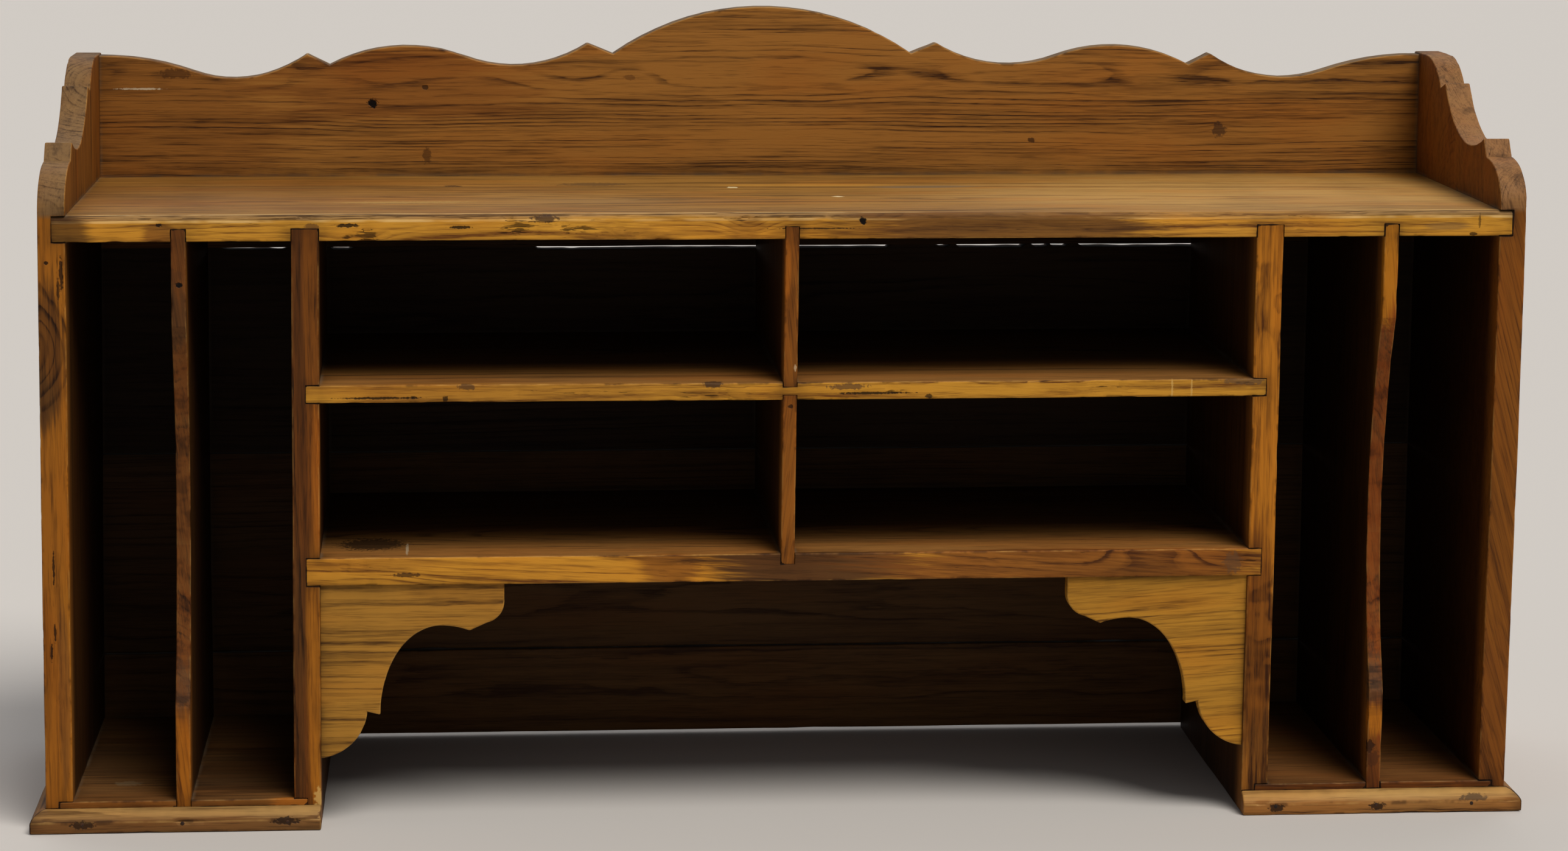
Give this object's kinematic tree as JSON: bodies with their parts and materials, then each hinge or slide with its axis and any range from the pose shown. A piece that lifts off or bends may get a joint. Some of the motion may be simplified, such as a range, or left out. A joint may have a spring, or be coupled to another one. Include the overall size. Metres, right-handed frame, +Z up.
{
  "type": "desk hutch",
  "caption": "Open solid-wood desk hutch with upright file slots at both ends, central pigeonholes, a bracketed kneehole and a scrolled gallery above the top shelf.",
  "frame": {"origin": "centre of the footprint on the desk top, measured over the base mouldings, at the height of the undersides", "axes": "+X to the right seen from the front, +Y to the back, +Z up"},
  "size_m": [1.22, 0.32, 0.6439],
  "materials": {
    "sides": "aged waxed solid wood, open grain, worn arrises",
    "uprights": "aged waxed solid wood, open grain, worn arrises",
    "shelves": "aged waxed solid wood, open grain, worn arrises",
    "floor_boards": "aged waxed solid wood, open grain, worn arrises",
    "dividers": "aged waxed solid wood, open grain, worn arrises",
    "brackets": "aged waxed solid wood, open grain, worn arrises",
    "glue_blocks": "aged waxed solid wood, open grain, worn arrises",
    "back_boards": "aged waxed solid wood, open grain, worn arrises",
    "mouldings": "aged waxed solid wood, open grain, worn arrises",
    "nails": "dark oxidised iron"
  },
  "bodies": {
    "root": {"left_side": "sides", "right_side": "sides", "left_inner_upright": "uprights", "right_inner_upright": "uprights", "top_shelf": "shelves", "mid_shelf": "shelves", "lower_shelf": "shelves", "left_floor_board": "floor_boards", "right_floor_board": "floor_boards", "upper_centre_divider": "dividers", "lower_centre_divider": "dividers", "left_slot_divider": "dividers", "right_slot_divider": "dividers", "left_bracket": "brackets", "right_bracket": "brackets", "left_shelf_block": "glue_blocks", "right_shelf_block": "glue_blocks", "left_upright_block": "glue_blocks", "right_upright_block": "glue_blocks", "gallery_board": "back_boards", "upper_back_board": "back_boards", "middle_back_board": "back_boards", "lower_back_board": "back_boards", "left_front_moulding": "mouldings", "right_front_moulding": "mouldings", "left_side_moulding": "mouldings", "right_side_moulding": "mouldings", "moulding_pins": "nails", "side_nails": "nails", "shelf_nails": "nails", "floor_nails": "nails", "gallery_nails": "nails", "back_nails": "nails"}
  },
  "joints": []
}
